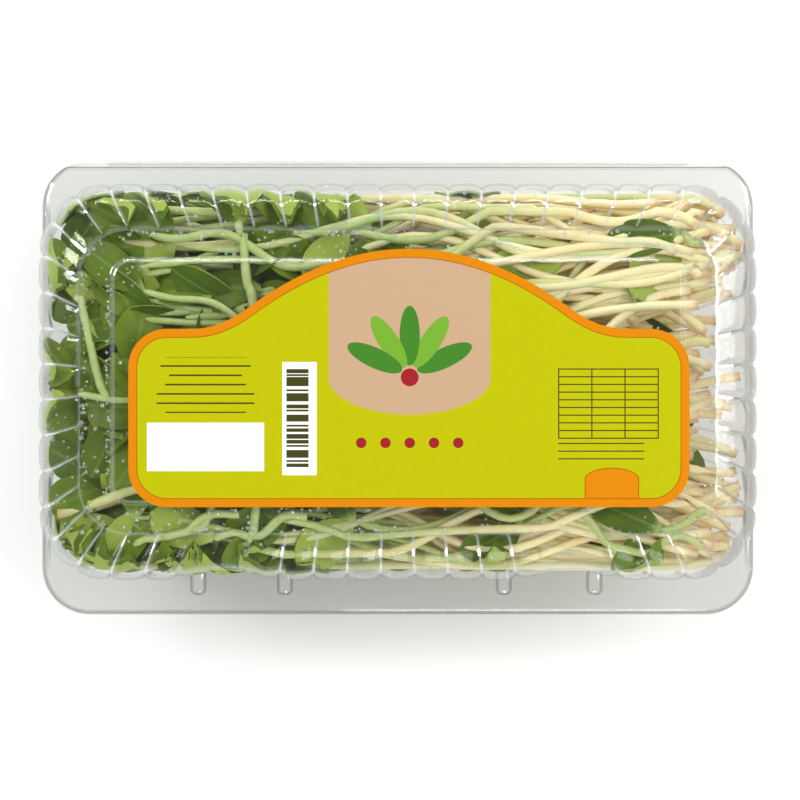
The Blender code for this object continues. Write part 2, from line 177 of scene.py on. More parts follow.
class Finish:
    """A material with its Principled shader, and the ways to add nodes to it."""

    def __init__(self, name, **constants):
        self.material = bpy.data.materials.new(name)
        self.material.use_nodes = True
        self.tree = self.material.node_tree
        self.shader = self.tree.nodes["Principled BSDF"]
        for key, value in constants.items():
            self.set(key.replace("_", " "), value)

    def set(self, socket, value):
        """Sets or links one of the shader's own sockets."""
        self.feed(self.shader.inputs[socket], value)

    def feed(self, socket, value):
        if isinstance(value, Value):
            self.tree.links.new(value.socket, socket)
        elif hasattr(value, "is_output"):
            self.tree.links.new(value, socket)
        elif socket.type == "RGBA":
            socket.default_value = (*value, 1)
        else:
            socket.default_value = value

    def node(self, kind, settings=(), inputs=()):
        """Adds a node: settings first, then the values or links of its sockets."""
        made = self.tree.nodes.new("ShaderNode" + kind)
        for key, value in dict(settings).items():
            setattr(made, key, value)
        pairs = inputs.items() if isinstance(inputs, dict) else enumerate(inputs)
        for key, value in pairs:
            self.feed(made.inputs[key], value)
        return made

    def place(self):
        """The point in object coordinates, and each of its three values."""
        spot = self.node("TexCoord").outputs["Object"]
        return spot, *self.split(spot)

    def split(self, vector):
        parts = self.node("SeparateXYZ", inputs=[vector])
        return [Value(self, parts.outputs[axis]) for axis in "XYZ"]

    def snapped(self, value, low, step):
        """A vector that stays the same over each step of a value, in mm from low."""
        whole = ((value - low * MM) * (1 / (step * MM))).math("FLOOR")
        return self.node("CombineXYZ", inputs=[0.0, whole * 0.037]).outputs[0]

    def attribute(self, name):
        return self.node("Attribute", {"attribute_name": name}).outputs

    def noise(self, spot, scale, detail=2.0, roughness=0.5):
        made = self.node("TexNoise", inputs={
            "Vector": spot, "Scale": scale, "Detail": detail, "Roughness": roughness})
        return Value(self, made.outputs["Fac"])

    def mix(self, share, first, second):
        """A colour between two others."""
        made = self.node("Mix", {"data_type": "RGBA"})
        self.feed(made.inputs[0], share)
        self.feed(made.inputs[6], first)
        self.feed(made.inputs[7], second)
        return made.outputs[2]

    def bump(self, height, distance, strength=1.0):
        made = self.node("Bump", inputs={
            "Height": height, "Distance": distance, "Strength": strength})
        self.set("Normal", made.outputs["Normal"])

    def facing(self):
        """0 where the surface is seen from straight on, 1 where it is seen edge on."""
        return Value(self, self.node("LayerWeight", inputs={"Blend": 0.5}).outputs["Facing"])

    def see_through(self, tint, share):
        """Leaves a plain hole of a tint, with only a share of the surface."""
        hole = self.node("BsdfTransparent", inputs=[tint])
        mixed = self.node("MixShader", inputs=[share, hole.outputs[0], self.shader.outputs[0]])
        self.feed(self.tree.nodes["Material Output"].inputs["Surface"], mixed.outputs[0])


print("Value has", len(vars(Value)), "members")

# %% [markdown]
# ## Clear film
# Glass with refraction would bend and darken the sprouts, and half a millimetre of film bends
# nothing, so the film is a Mix Shader: mostly a plain hole, and more of a glossy surface where it
# is seen edge on. Painted highlight lines and painted dark lines stand in for the glints and dark
# edges on the flutes' grooves, the lip, the ledge and the panel's step. A darker painted
# reflection marks the film seen edge on, painted shade greys the flat rim, and the cold right end
# is misty and darker.

# %% The film's finish
FILM_CLEAR, FILM_EDGE = 0.008, 0.66  # shares of surface, straight on and edge on
# The share added on the flat rim is painted shade, and the dark lines are painted too.
RIM_PAINTED_SHADE, MIST_SMOKE, DARK_LINE = 0.06, 0.21, 0.7  # and what the rim, mist and folds add
COLD_FROM, COLD_FULL, COLD_MIST, CLOUD_MIST = 69 * MM, 83 * MM, 0.6, 0.06
DARK_REACH = 0.26
FILM_TINT, BUTTON_TINT = (0.962, 0.966, 0.963), (0.985, 0.987, 0.987)
# The film reflects in the pale tone. The dark tone is painted: a darker reflection edge on and on
# the dark lines, painted shade on the flat rim, and a darker misty end.
PALE_SHEEN, DARK_SHEEN = (0.95, 0.97, 0.97), (0.25, 0.24, 0.20)


def film_finish(name, mist_strength, painted_line_strength, edge=FILM_EDGE, tint=FILM_TINT,
                clear=FILM_CLEAR, dark_from=0.72):
    """Clear sheet. A mark on each point paints fine lines: a highlight above 0, a dark line below
    0.
    """
    finish = Finish(name, Metallic=1.0)
    spot, x, _, z = finish.place()
    facing = finish.facing()
    clouds = finish.noise(spot, 55, 3).ramp(0.42, 0.68)
    specks = finish.noise(spot, 1100, 2).ramp(0.52, 0.62)
    from_rim = abs(z - RIM_HEIGHT)
    cold_end = x.ramp(COLD_FROM, COLD_FULL) * from_rim.ramp(1 * MM, 4 * MM)
    mist = (cold_end * COLD_MIST + clouds * CLOUD_MIST) * (specks * 0.75 + 0.25) * mist_strength
    finish.set("Roughness", mist * 0.3 + 0.05)
    finish.bump(finish.noise(spot, 150, 2) + specks * 0.3 * mist, 0.15 * MM, 0.3)
    # Painted lines: a painted highlight where the points' mark is above 0, a painted dark line
    # where it is below 0.
    painted_line = Value(finish, finish.attribute("painted_line")["Fac"])
    bright, dark = painted_line.at_least(0) ** 6, (painted_line * -1).at_least(0) ** 2
    # Painted shade on the flat rim.
    flange = from_rim.ramp(1.2 * MM, 0.8 * MM)
    # The reflection is painted darker edge on, on the dark lines, on the rim and at the misty end.
    shade = facing.ramp(dark_from, dark_from + DARK_REACH).at_least(dark)
    shade = shade.at_least(flange * 0.7).at_least(cold_end * 0.6)
    finish.set("Base Color", finish.mix(shade, PALE_SHEEN, DARK_SHEEN))
    lines = (bright + dark * DARK_LINE) * painted_line_strength
    share = facing ** 3 * edge + clear + mist * MIST_SMOKE + lines + flange * RIM_PAINTED_SHADE
    finish.see_through(tint, share)
    return finish.material


lid_film = film_finish("lid_film", 1.0, 0.62)
tray_film = film_finish("tray_film", 0.4, 0.15, edge=0.45)
# The buttons' reflection is painted darker from nearly straight on, so that they show mostly the
# lamps' glints.
button_film = film_finish(
    "button_film", 0.0, 0.0, edge=0.9, tint=BUTTON_TINT, clear=0.14, dark_from=0.08)
print("share of clear film:", 1 - FILM_CLEAR)

# %% [markdown]
# ## Outlines of the formed sheet
# Both halves are rounded rectangles stacked up, with flutes that stiffen the wall. Every ring has
# the same number of points, so neighbours join without a twist. On the front the flutes give way
# to two finger scoops.

# %% Rings of points
LONG_FLUTES, SHORT_FLUTES, CORNER_FLUTES = 17, 7, 3
POINTS_PER_FLUTE, CROWN = 8, 0.35  # a low crown leaves narrow grooves
FLUTE_DEPTH = 1.2
FULL_CUT = FLUTE_DEPTH * MM
SCOOP_X, SCOOP_HALF, SCOOP_SMOOTHS = 43.5 * MM, 17.0 * MM, 0.85
BODY_Y = 1.2 * MM  # the walls stand nearer the hinge than the rim


def rounded_runs(half_x, half_y, radius):
    """Sides and corners of a rounded rectangle: (flutes, place), anticlockwise from the front."""
    x, y = half_x - radius, half_y - radius
    sides = (
        (LONG_FLUTES, (-x, -half_y), (x, -half_y), -90),
        (SHORT_FLUTES, (half_x, -y), (half_x, y), 0),
        (LONG_FLUTES, (x, half_y), (-x, half_y), 90),
        (SHORT_FLUTES, (-half_x, y), (-half_x, -y), 180))
    for flutes, start, end, facing in sides:
        start, end, angle = Vector(start), Vector(end), math.radians(facing)
        out = Vector((math.cos(angle), math.sin(angle)))

        def along(t, start=start, end=end, out=out):
            return start.lerp(end, t), out

        def around(t, end=end, out=out, angle=angle):
            turned = angle + t * math.pi / 2
            normal = Vector((math.cos(turned), math.sin(turned)))
            return end - out * radius + normal * radius, normal

        yield flutes, along
        yield CORNER_FLUTES, around


def scoop_share(x):
    reach = min(1.0, abs(abs(x) - SCOOP_X) / SCOOP_HALF)
    return math.cos(reach * math.pi / 2) ** 2


def ring(half_x, half_y, radius, z, flute=0.0, scoop=0.0):
    """One closed line round the sheet, with its flutes and scoops cut to these depths.

    Each point is (x, y, z, line). The line is 1 at the bottom of a full flute's groove, where it
    paints a highlight. Elsewhere callers write their own: a painted highlight up to 1, a painted
    dark line down to -1.
    """
    points = []
    for run, (flutes, place) in enumerate(rounded_runs(half_x, half_y, radius)):
        steps = flutes * POINTS_PER_FLUTE
        for step in range(steps):
            point, normal = place(step / steps)
            share = scoop_share(point.x) if run == 0 else 0.0
            bulge = abs(math.sin(math.pi * step / POINTS_PER_FLUTE)) ** CROWN
            cut = flute * (1 - bulge) * (1 - SCOOP_SMOOTHS * share)
            point = point - normal * cut
            points.append((point.x, point.y + scoop * share, z, cut / FULL_CUT))
    return points


def body_ring(half_x, half_y, radius, z, flute=0.0, scoop=0.0):
    """A ring of the walls or panels, in mm but for z."""
    line = ring(half_x * MM, half_y * MM, radius * MM, z, flute * MM, scoop * MM)
    return [(x, y + BODY_Y, height, painted_line) for x, y, height, painted_line in line]


RIM_X, RIM_Y, RIM_RADIUS = 93.0 * MM, 59.3 * MM, 12.0 * MM
# The lip's rounding: how far in from the edge and down, in mm, and its painted line, dark below 0
# and a highlight above 0.
LIP_STEPS = ((0.0, 0.9, -1.0), (0.25, 0.5, -0.9), (0.6, 0.18, 0.95), (1.1, 0.0, 0.0))


def rim_rings(z, back_y):
    """The rim from its edge inwards. Its lip turns down everywhere but along the hinge."""
    rings = []
    for inset, drop, painted_line in LIP_STEPS:
        inset, drop = inset * MM, drop * MM
        line = ring(RIM_X - inset, RIM_Y - inset, RIM_RADIUS - inset, z)
        placed = []
        for x, y, height, _ in line:
            front = min(1.0, (RIM_Y - inset - y) / (RIM_RADIUS - inset))
            placed.append((x, min(y, back_y - inset), height - drop * front, painted_line))
        rings.append(placed)
    return rings


print(len(ring(0.09, 0.05, 0.017, 0.0)), "points in every ring")

# %% [markdown]
# ## From rings to a formed sheet
# A circle is put on the first ring and extruded again and again, each time onto the next ring. The
# last ring is filled, and a Solidify modifier gives the skin its thickness.

# %% Lofting and thickening
SHEET = 0.5 * MM


def settle(piece, old, new):
    """Moves the selected points of a piece in edit mode from the old ring to the new one."""
    tree = kdtree.KDTree(len(old))
    for index, point in enumerate(old):
        tree.insert(point[:3], index)
    tree.balance()
    mesh = bmesh.from_edit_mesh(piece.data)
    # Each point also keeps its mark for the film's painted lines.
    painted_line = mesh.verts.layers.float.get("painted_line") or mesh.verts.layers.float.new("painted_line")
    for vertex in mesh.verts:
        if vertex.select:
            point = new[tree.find(vertex.co)[1]]
            vertex.co = point[:3]
            vertex[painted_line] = point[3] if len(point) > 3 else 0.0
    bmesh.update_edit_mesh(piece.data)


def lofted(name, rings, close_start=False):
    """A skin drawn through rings of equally many points. Its last ring is closed, or both are."""
    deselect()
    bpy.ops.mesh.primitive_circle_add(vertices=len(rings[0]), radius=1)
    piece = bpy.context.object
    piece.name = name
    circle = [tuple(vertex.co) for vertex in piece.data.vertices]
    edit(piece)
    settle(piece, circle, rings[0])
    if close_start:
        bpy.ops.mesh.edge_face_add()
    for old, new in zip(rings, rings[1:]):
        bpy.ops.mesh.extrude_region_move()
        settle(piece, old, new)
    if not close_start:
        bpy.ops.mesh.edge_face_add()
    bpy.ops.mesh.select_all(action="SELECT")
    bpy.ops.mesh.normals_make_consistent(inside=False)
    bpy.ops.object.mode_set(mode="OBJECT")
    return piece


def apply_modifier(piece, kind, **settings):
    select(piece)
    bpy.ops.object.modifier_add(type=kind)
    modifier = piece.modifiers[-1]
    for key, value in settings.items():
        setattr(modifier, key, value)
    bpy.ops.object.modifier_apply(modifier=modifier.name)


def smooth(piece, degrees=40):
    select(piece)
    bpy.ops.object.shade_smooth_by_angle(angle=math.radians(degrees))


def formed(name, rings, inside_up, finish):
    """A thin sheet over the rings. Its thickness goes away from the food."""
    piece = lofted(name, rings)
    flat = max(piece.data.polygons, key=lambda face: len(face.vertices))
    if (flat.normal.z > 0) != inside_up:
        edit(piece)
        bpy.ops.mesh.flip_normals()
        bpy.ops.object.mode_set(mode="OBJECT")
    apply_modifier(piece, "SOLIDIFY", thickness=SHEET, offset=-1)
    smooth(piece)
    piece.data.materials.append(finish)
    return piece


def join(main, *others):
    select(*others, main)
    bpy.ops.object.join()


def cut_level(piece, height, **kept):
    """Cuts a piece at a height and clears one side of the cut."""
    edit(piece)
    bpy.ops.mesh.bisect(plane_co=(0, 0, height), plane_no=(0, 0, 1), **kept)
    bpy.ops.object.mode_set(mode="OBJECT")


# %% [markdown]
# ## The tray
# The tray's wall leans out as it rises, so that trays stack. Its foot is a flat band with a raised
# panel inside it, which keeps a thin floor from rocking. The rim's back edge carries the hinge as
# a slim rolled bead.

# %% Build the tray
TRAY_TOP = 38.0 * MM
HINGE_Y, HINGE_Z = 58.8 * MM, 38.15 * MM
BEAD_RADIUS, BEAD_HALF = 0.7 * MM, 76.0 * MM
WALL_SHARES = (1.0, 0.97, 0.85, 0.7, 0.55, 0.4, 0.25, 0.12, 0.05, 0.015)  # heights, top to foot
# Half x, half y, corner radius and scoop at the wall's foot, and how much each grows to the top.
TRAY_FOOT, TRAY_FLARE = (79, 39.5, 13, 1.5), (12.4, 11.1, 5, 3.3)
TRAY_BASE = (  # half x, half y, corner radius and height of the floor's rings
    (68, 30, 9, 0.5), (67.4, 29.4, 8.6, 0.9), (66.6, 28.6, 8.2, 1.75), (66, 28, 8, 2.0),
    (40, 14, 4, 2.0))


def tray_rings():
    rings = rim_rings(TRAY_TOP, HINGE_Y)
    for share in WALL_SHARES:
        half_x, half_y, radius, scoop = [
            foot + flare * share for foot, flare in zip(TRAY_FOOT, TRAY_FLARE)]
        z = SHEET + (TRAY_TOP - SHEET) * share
        rings.append(body_ring(half_x, half_y, radius, z, FLUTE_DEPTH, scoop))
    rings.append(body_ring(78.4, 38.9, 12.6, SHEET, 0.8 * FLUTE_DEPTH, 1.4))
    for half_x, half_y, radius, z in TRAY_BASE:
        rings.append(body_ring(half_x, half_y, radius, z * MM))
    return rings


tray = formed("tray_shell", tray_rings(), True, tray_film)
for vertex in tray.data.vertices:
    if abs(vertex.co.z) < 0.2 * MM:  # the band that the tray stands on is exactly flat
        vertex.co.z = 0.0

deselect()
bpy.ops.mesh.primitive_cylinder_add(
    vertices=24, radius=BEAD_RADIUS, depth=2 * BEAD_HALF,
    location=(0, HINGE_Y, HINGE_Z), rotation=(0, math.pi / 2, 0))
bead = bpy.context.object
apply_modifier(bead, "BEVEL", width=0.3 * MM, segments=2)
smooth(bead)
bead.data.materials.append(tray_film)
join(tray, bead)
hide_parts("tray")
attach(tray, "base")
print("tray:", len(tray.data.polygons), "faces")

# %% [markdown]
# ## The lid
# The lid has a steep fluted wall, a rounded shoulder that the flutes run over, a flat band and a
# raised panel for the sticker. Four hollow buttons on its front rim snap it shut. They are rounded
# blocks with their undersides removed.

# %% Build the lid
LID_BOTTOM = 38.3 * MM
LID_BACK_Y = 57.8 * MM
LID_SECTION = (  # height over the rim, half x, half y, corner radius, share of the flutes, scoop
    (0.0, 91.4, 50.6, 18.0, 1.0, 4.8), (0.6, 91.35, 50.55, 18.0, 1.0, 4.7),
    (5.0, 91.2, 50.4, 17.9, 1.0, 4.2), (11.0, 91.0, 50.2, 17.8, 1.0, 3.3),
    (16.0, 90.7, 49.9, 17.7, 1.0, 2.5), (19.0, 90.2, 49.4, 17.5, 1.0, 2.0),
    (21.0, 89.3, 48.6, 17.1, 1.0, 1.6), (22.6, 88.1, 47.5, 16.6, 1.0, 1.1),
    (24.0, 86.6, 46.0, 15.9, 1.0, 0.7), (25.1, 84.7, 43.9, 15.0, 1.0, 0.4),
    (26.0, 82.4, 41.4, 14.0, 1.0, 0.2), (26.6, 80.5, 39.4, 13.1, 0.9, 0.0))
# The ledge where the flutes end carries a painted line: a highlight along the front, a dark line
# along the back.
LEDGE, LEDGE_LINE = (27.0, 79.0, 37.7, 12.2), 0.85
# The last column paints highlight lines along the panel's step, fainter in the mist past
# FAINT_FROM.
LID_TOP = (  # the band and the panel: height over the rim, half x, half y, corner radius, line
    (27.0, 78.6, 37.3, 12.0, 0.0), (27.0, 71.6, 31.0, 5.0, 0.0), (27.04, 71.3, 30.7, 4.8, 0.78),
    (27.2, 71.05, 30.45, 4.6, 0.78), (27.45, 70.9, 30.3, 4.5, 0.0), (27.8, 70.7, 30.1, 4.3, 0.0),
    (28.0, 70.5, 29.9, 4.2, 0.78), (28.15, 70.15, 29.55, 4.0, 0.78),
    (28.2, 69.7, 29.1, 3.8, 0.0), (28.2, 40.0, 12.0, 3.0, 0.0))
FAINT_FROM, FAINT = 65 * MM, 0.4  # the panel's lines fade in the mist
BUTTONS = (-52.3 * MM, -29.6 * MM, 27.8 * MM, 51.6 * MM)
BUTTON_Y, BUTTON_SIZE = -50.6 * MM, (4.2 * MM, 8.0 * MM, 1.9 * MM)


def lid_rings():
    rings = rim_rings(LID_BOTTOM, LID_BACK_Y)
    foot = body_ring(91.65, 50.9, 18.2, LID_BOTTOM, FLUTE_DEPTH, 4.8)
    rings.append([(*point[:3], 0.0) for point in foot])
    for z, half_x, half_y, radius, flute, scoop in LID_SECTION:
        line = body_ring(half_x, half_y, radius, LID_BOTTOM + z * MM, flute * FLUTE_DEPTH, scoop)
        # The ring at the rim's height paints a dark line round the wall's foot.
        rings.append(line if z else [(*point[:3], -1.0) for point in line])
    height, half_x, half_y, radius = LEDGE
    line = body_ring(half_x, half_y, radius, LID_BOTTOM + height * MM)
    rings.append([(x, y, z, math.copysign(LEDGE_LINE, -y)) for x, y, z, _ in line])
    for z, half_x, half_y, radius, painted_line in LID_TOP:
        line = body_ring(half_x, half_y, radius, LID_BOTTOM + z * MM)
        rings.append([
            (*point[:3], painted_line * (FAINT if point[0] > FAINT_FROM else 1)) for point in line])
    return rings


def snap_button(x):
    """A hollow bump: a rounded block cut off at the rim, then thickened inwards."""
    deselect()
    width, length, height = BUTTON_SIZE
    bpy.ops.mesh.primitive_cube_add(size=1, location=(x, BUTTON_Y, LID_BOTTOM + SHEET))
    button = bpy.context.object
    button.scale = (width, length, 2 * height)
    bpy.ops.object.transform_apply(location=True, rotation=False, scale=True)
    apply_modifier(button, "BEVEL", width=1.6 * MM, segments=5)
    cut_level(button, LID_BOTTOM + SHEET - 0.1 * MM, clear_inner=True)
    apply_modifier(button, "SOLIDIFY", thickness=SHEET * 0.7, offset=-1)
    smooth(button)
    button.data.materials.append(button_film)
    return button


lid = formed("lid_shell", lid_rings(), False, lid_film)
join(lid, *[snap_button(x) for x in BUTTONS])
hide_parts("lid")
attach(lid, "cover")
print("lid:", len(lid.data.polygons), "faces")

# %% [markdown]
# ## The heap of sprouts
# A cut sprout is a long pale stem with a pair of seed leaves. They lie in wavy layers along the
# tray, leaves at the left. The CAD model's sprouts come from one seeded run of draws, and the ones
# added between and over them from another.

# %% Where each sprout lies
LAYERS, SPROUTS_PER_LAYER = 7, 6
FLOOR_Z, CEILING_Z = 2.8 * MM, 64.4 * MM
FLOOR_WAVE, CEILING_WAVE = 1.6 * MM, 3.2 * MM
STEM_LEVEL, LEAF_LEVEL = 0.23, 0.66
WALL_MARGIN, LEAST_MARGIN = 1.2, 0.6
SEED, EXTRA_SEED = 41, 907
EXTRA_PER_LAYER = (28, 28, 32, 40, 48, 52, 56)
TURNED_ROUND, EXTRA_TURNED = 0.06, 0.015  # chances that a sprout lies the other way round
ALONG_WALL, PUSHED_OUT = 5, 6  # one added sprout in so many follows a wall, or moves right
LOOSE = (  # on top of the heap: head x and y, the way it faces in degrees, length, sway, in mm
    (71, 38, 212, 15, 0.3), (66, -36, 196, 14, 0.3),
    (-62, 38, 171, 46, 3), (-81, 22, 110, 26, 2), (-25, -15, 15, 62, 2),
    (-46, -38, 193, 24, 2), (-66, -41, 199, 28, 2), (-80, -2, 172, 32, 1), (-64, 24, 160, 44, 3),
    (-40, 45, 99, 25, 4), (-37, -43, 262, 22, 2), (-52, -36, 230, 20, 2))
PITCH = (CEILING_Z - FLOOR_Z) / LAYERS
WALLS = (  # height, half x and half y of the room inside, in mm
    (0.5, 79.0, 39.5), (38.0, 91.4, 50.6), (57.3, 90.6, 49.8), (62.8, 86.4, 46.0),
    (65.3, 79.4, 38.1))

Sprout = namedtuple(
    "Sprout", "layer root head sway turns phase radius facing spreads lengths widths level "
    "leaf_level tilts tint slope curl cup splay", defaults=(0.0, (1.0, 1.0), (0.5, 0.5), 0.0))


def inner_half(z, margin=WALL_MARGIN):
    """Half the room inside the walls at height z, clear of the flutes."""
    heights, half_x, half_y = np.array(WALLS).T * MM
    room = (FLUTE_DEPTH + margin) * MM
    return np.interp(z, heights, half_x) - room, np.interp(z, heights, half_y) - room


def layer_room(layer):
    """Where a layer starts, and half the room inside the walls there, as x and y."""
    bottom = FLOOR_Z + PITCH * layer
    half_x, half_y = map(min, zip(inner_half(bottom), inner_half(bottom + PITCH)))
    return bottom, half_x, half_y


def pair(draw, low, high, unit=1.0):
    return draw.uniform(low, high) * unit, draw.uniform(low, high) * unit


def sprout(draw, layer, lane, head_lane, level, leaf_level, tilts, tint,
           turned_round=TURNED_ROUND):
    """One sprout's line and leaves, from the next draws."""
    _, half_x, half_y = layer_room(layer)
    way = -1 if draw.random() < turned_round else 1
    head_y = 0.62 * lane + 0.34 * head_lane
    root = (way * (half_x - draw.uniform(1, 20) * MM), lane + draw.uniform(-2, 2) * MM)
    reach = draw.random() ** 1.25
    head = (way * (-half_x + (14 + 66 * reach) * MM), head_y)
    facing = math.pi + 0.5 * head_y / half_y + draw.uniform(-0.6, 0.6)
    facing = facing if way > 0 else math.pi - facing
    return Sprout(
        layer, root, head, draw.uniform(2, 7) * MM, draw.uniform(0.6, 1.4),
        draw.uniform(0, 2 * math.pi), draw.uniform(1.05, 1.3) * MM, facing,
        pair(draw, 0.25, 0.75), pair(draw, 16, 20, MM), pair(draw, 9.5, 12.5, MM),
        level, leaf_level, tilts, tint)


def lay_heap():
    """The CAD model's own sprouts first, then more of them between those."""
    draw, extra = random.Random(SEED), random.Random(EXTRA_SEED)
    heap = []
    for layer in range(LAYERS):
        _, half_x, half_y = layer_room(layer)
        last = SPROUTS_PER_LAYER - 1
        lanes = [0.96 * half_y * (2 * i / last - 1) for i in range(SPROUTS_PER_LAYER)]
        heads = lanes[:]
        draw.shuffle(heads)
        for lane, head_lane in zip(lanes, heads):
            tint, tilts = extra.random(), (extra.uniform(-0.1, 0.15), extra.uniform(-0.1, 0.15))
            heap.append(sprout(draw, layer, lane, head_lane, STEM_LEVEL, LEAF_LEVEL, tilts, tint))
        for number in range(EXTRA_PER_LAYER[layer]):
            spread, head_lane = extra.uniform(-1, 1), extra.uniform(-half_y, half_y)
            lane = math.copysign(abs(spread) ** 0.7, spread) * half_y
            if number % ALONG_WALL == 1:
                lane = head_lane = math.copysign(extra.uniform(0.88, 1.04) * half_y, spread)
            tilts = pair(extra, -0.6, 0.6)
            level, tint = extra.uniform(0.30, 0.92), extra.random()
            leaf_level = extra.uniform(0.28, 0.70)
            added = sprout(
                extra, layer, lane, head_lane, level, leaf_level, tilts, tint, EXTRA_TURNED)
            short = extra.random() ** 2 * 24 * MM
            root_x = math.copysign(half_x - short, added.root[0])
            pushed = number % PUSHED_OUT == 0
            shift = extra.uniform(10, 45) * MM if pushed else -extra.uniform(0, 5) * MM
            heap.append(added._replace(
                root=(root_x, added.root[1]), head=(added.head[0] + shift, added.head[1]),
                sway=added.sway * extra.uniform(0.8, 2.4), slope=extra.uniform(-0.3, 0.3),
                splay=extra.uniform(-11, 11) * MM, spreads=pair(extra, 0.2, 1.2),
                curl=pair(extra, -1.5, 5.0), cup=pair(extra, -1.5, 3.6)))
    for x, y, facing, length, sway in LOOSE:
        turn, head = math.radians(facing), (x * MM, y * MM - BODY_Y)
        loose = sprout(
            extra, LAYERS - 1, head[1], head[1], 0.84, 0.76, (0.1, -0.1), extra.random(), 0)
        root = (head[0] - length * MM * math.cos(turn), head[1] - length * MM * math.sin(turn))
        heap.append(loose._replace(
            root=root, head=head, facing=turn, sway=sway * MM, curl=(2.0, 1.0)))
    return heap


heap = lay_heap()
print(len(heap), "sprouts in", LAYERS, "layers")

# %% [markdown]
# ## One stem and one leaf to copy
# The stem is a tube of unit size drawn through rings, and the seed leaf is a grid shaped into an
# oval with a crease along its rib, then given its thickness. numpy bends each copy along its line.

# %% Model the stem and the leaf
STEM_SIDES, STEM_RINGS, FULL_STEM = 8, 26, 115 * MM
LEAF_LENGTH, LEAF_HALF_WIDTH, LEAF_THICKNESS = 18.0 * MM, 5.6 * MM, 0.7 * MM
LEAF_ARCH, LEAF_CREASE = 1.9 * MM, 0.4 * MM
FACE_DOWN = 0.32  # share of the leaves that show their underside


def leaf_half_width(along):
    """Half width of the blade as a share of the widest: narrow at its foot, blunt at its tip."""
    oval = max(0.0, 1 - (2 * along ** 1.3 - 1) ** 2) ** 0.55
    return max(oval, 0.2 * (1 - along), 0.03)


def stem_pattern():
    """A unit stem: x is the share of its length, y and z lie on a unit circle."""
    turns = [2 * math.pi * i / STEM_SIDES for i in range(STEM_SIDES)]
    rings = [[(step / (STEM_RINGS - 1), math.cos(turn), math.sin(turn)) for turn in turns]
             for step in range(STEM_RINGS)]
    return lofted("stem_pattern", rings, close_start=True)


def leaf_pattern():
    """A seed leaf at true size, with its foot at the origin and its tip towards +X."""
    deselect()
    bpy.ops.mesh.primitive_grid_add(x_subdivisions=10, y_subdivisions=6, size=1)
    leaf = bpy.context.object
    leaf.name = "leaf_pattern"
    for vertex in leaf.data.vertices:
        along, across = 0.5 + 0.5 * math.sin(math.pi * vertex.co.x), vertex.co.y * 2
        wide, inward = leaf_half_width(along), 1 - abs(across)
        vertex.co.x = LEAF_LENGTH * along + 0.6 * MM * inward * along
        vertex.co.y = LEAF_HALF_WIDTH * wide * across
        vertex.co.z = LEAF_ARCH * (1 - (2 * along - 1) ** 2) - LEAF_CREASE * wide * inward ** 2
    apply_modifier(leaf, "SOLIDIFY", thickness=LEAF_THICKNESS, offset=0)
    return leaf


def pattern_arrays(piece):
    """A pattern's points and faces. The pattern is then removed."""
    points = np.array([vertex.co[:] for vertex in piece.data.vertices])
    faces = [tuple(face.vertices) for face in piece.data.polygons]
    bpy.data.objects.remove(piece)
    return points, faces


stem_points, stem_faces = pattern_arrays(stem_pattern())
leaf_points, leaf_faces = pattern_arrays(leaf_pattern())
print("stem", len(stem_faces), "faces, leaf", len(leaf_faces), "faces")

# %% [markdown]
# ## Bending every copy into place
# A stem runs from its cut end to its head, sways, and lifts to meet its leaves. All of it is kept
# inside the walls, and a gentle swell keeps the layers from looking ruled.

# %% Copy the patterns along the heap
def waved(points):
    """Shears flat layers into the heap's swell."""
    x, y, z = points.T
    share = (z - FLOOR_Z) / (CEILING_Z - FLOOR_Z)
    swell = 0.5 + 0.5 * np.sin(x / (19 * MM) + 0.8) * np.cos(y / (14 * MM) - 0.4)
    low, high = FLOOR_Z + FLOOR_WAVE * swell, CEILING_Z - CEILING_WAVE * (1 - swell)
    return np.stack([x, y + BODY_Y, low + share * (high - low)], axis=1)


def kept_inside(x, y, half_x, half_y, deep=0.0, radius=15 * MM):
    """Pulls points back to the walls' rounded rectangle, or that deep into the flutes."""
    run_x, run_y = half_x - radius, half_y - radius

    def reached(half, flutes, beside, run):
        bulges = np.abs(np.sin(math.pi * flutes * (beside / run + 1) / 2))
        return half + bulges * (np.abs(beside) < run) * deep

    edge_x = reached(half_x, SHORT_FLUTES, y, run_y)
    edge_y = reached(half_y, LONG_FLUTES, x, run_x)
    x, y = np.clip(x, -edge_x, edge_x), np.clip(y, -edge_y, edge_y)
    over_x, over_y = np.abs(x) - run_x, np.abs(y) - run_y
    reach = np.hypot(over_x, over_y)
    out = (over_x > 0) & (over_y > 0) & (reach > radius)
    share = radius / np.maximum(reach, 1e-9)
    x = np.where(out, np.copysign(run_x + over_x * share, x), x)
    y = np.where(out, np.copysign(run_y + over_y * share, y), y)
    return x, y


def stem_line(item, u):
    """Centre line of a stem at the shares u of its length."""
    bottom = layer_room(item.layer)[0]
    x = item.root[0] + (item.head[0] - item.root[0]) * u
    y = item.root[1] + (item.head[1] - item.root[1]) * u * u * (3 - 2 * u)
    y = y + item.splay * (1 - u) ** 5
    y = y + item.sway * np.sin(2 * math.pi * item.turns * u + item.phase) * np.sin(math.pi * u)
    lift = np.clip((u - 0.86) / 0.14, 0, 1) ** 1.6
    level = item.level + item.slope * (0.5 - u) * (1 - lift)
    z = bottom + PITCH * (level + (item.leaf_level - level) * lift)
    z = z + 0.05 * PITCH * np.sin(5.1 * u * item.turns + 3 * item.phase) * np.sin(math.pi * u)
    half_x, half_y = inner_half(z + item.radius, LEAST_MARGIN)
    x, y = kept_inside(x, y, half_x - item.radius, half_y - item.radius)
    return np.stack([x, y, np.minimum(z, CEILING_Z - item.radius)], axis=1)


